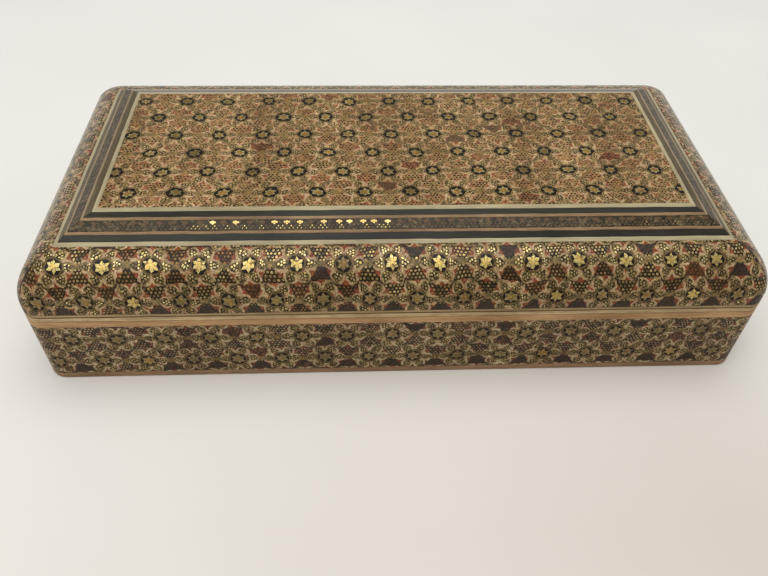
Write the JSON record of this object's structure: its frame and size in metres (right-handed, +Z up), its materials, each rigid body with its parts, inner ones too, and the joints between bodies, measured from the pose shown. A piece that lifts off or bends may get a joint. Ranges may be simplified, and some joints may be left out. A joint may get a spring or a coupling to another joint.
{
  "type": "jewelry box",
  "caption": "Low rectangular wooden box covered in khatam marquetry, with a hinged round-shouldered lid, stepped bone and ebony frames round its top panel and a lined inside.",
  "frame": {"origin": "centre of the box's footprint, hinge knuckles included, on the surface it stands on", "axes": "+X along the length, to the right seen from the front; -Y is the front; +Z is up"},
  "size_m": [0.24, 0.1212, 0.0546],
  "materials": {
    "core_wood": "satin",
    "khatam": "varnished",
    "fine_khatam": "varnished",
    "strip_wood": "varnished",
    "ebony": "varnished",
    "bone": "polished",
    "velvet": "pile",
    "brass": "satin"
  },
  "bodies": {
    "box_body": {"bottom_board": "core_wood", "wall_front": "core_wood", "wall_right": "core_wood", "wall_back": "core_wood", "wall_left": "core_wood", "base_edging_front": "strip_wood", "base_edging_right": "strip_wood", "base_edging_back": "strip_wood", "base_edging_left": "strip_wood", "body_khatam_front": "khatam", "body_khatam_right": "khatam", "body_khatam_back": "khatam", "body_khatam_left": "khatam", "rim_wood_front": "strip_wood", "rim_wood_right": "strip_wood", "rim_wood_back": "strip_wood", "rim_wood_left": "strip_wood", "rim_bone_front": "bone", "rim_bone_right": "bone", "rim_bone_back": "bone", "rim_bone_left": "bone", "floor_lining": "velvet", "body_side_lining": "velvet", "body_hinge_leaf_left": "brass", "body_hinge_leaf_right": "brass", "hinge_pin_left": "brass", "hinge_pin_right": "brass", "body_hinge_nail_left_1": "brass", "body_hinge_nail_left_2": "brass", "body_hinge_nail_right_1": "brass", "body_hinge_nail_right_2": "brass"},
    "lid": {"lid_top_board": "core_wood", "lid_rail_front": "core_wood", "lid_rail_right": "core_wood", "lid_rail_back": "core_wood", "lid_rail_left": "core_wood", "lid_strip_front": "strip_wood", "lid_strip_right": "strip_wood", "lid_strip_back": "strip_wood", "lid_strip_left": "strip_wood", "lid_khatam_front": "khatam", "lid_khatam_right": "khatam", "lid_khatam_back": "khatam", "lid_khatam_left": "khatam", "outer_bone_frame": "bone", "outer_ebony_frame": "ebony", "outer_line_frame": "strip_wood", "fine_khatam_frame": "fine_khatam", "inner_line_frame": "strip_wood", "inner_ebony_frame": "ebony", "inner_bone_frame": "bone", "lid_panel": "khatam", "lid_top_lining": "velvet", "lid_side_lining": "velvet", "lid_hinge_leaf_left": "brass", "lid_hinge_leaf_right": "brass", "lid_hinge_nail_left_1": "brass", "lid_hinge_nail_left_2": "brass", "lid_hinge_nail_right_1": "brass", "lid_hinge_nail_right_2": "brass"}
  },
  "joints": [
    {"name": "lid_hinge", "type": "hinge", "parent": "box_body", "child": "lid", "pos_m": [0, 0.05905, 0.03035], "axis": [-1, 0, 0], "range_deg": [0, 105]}
  ]
}
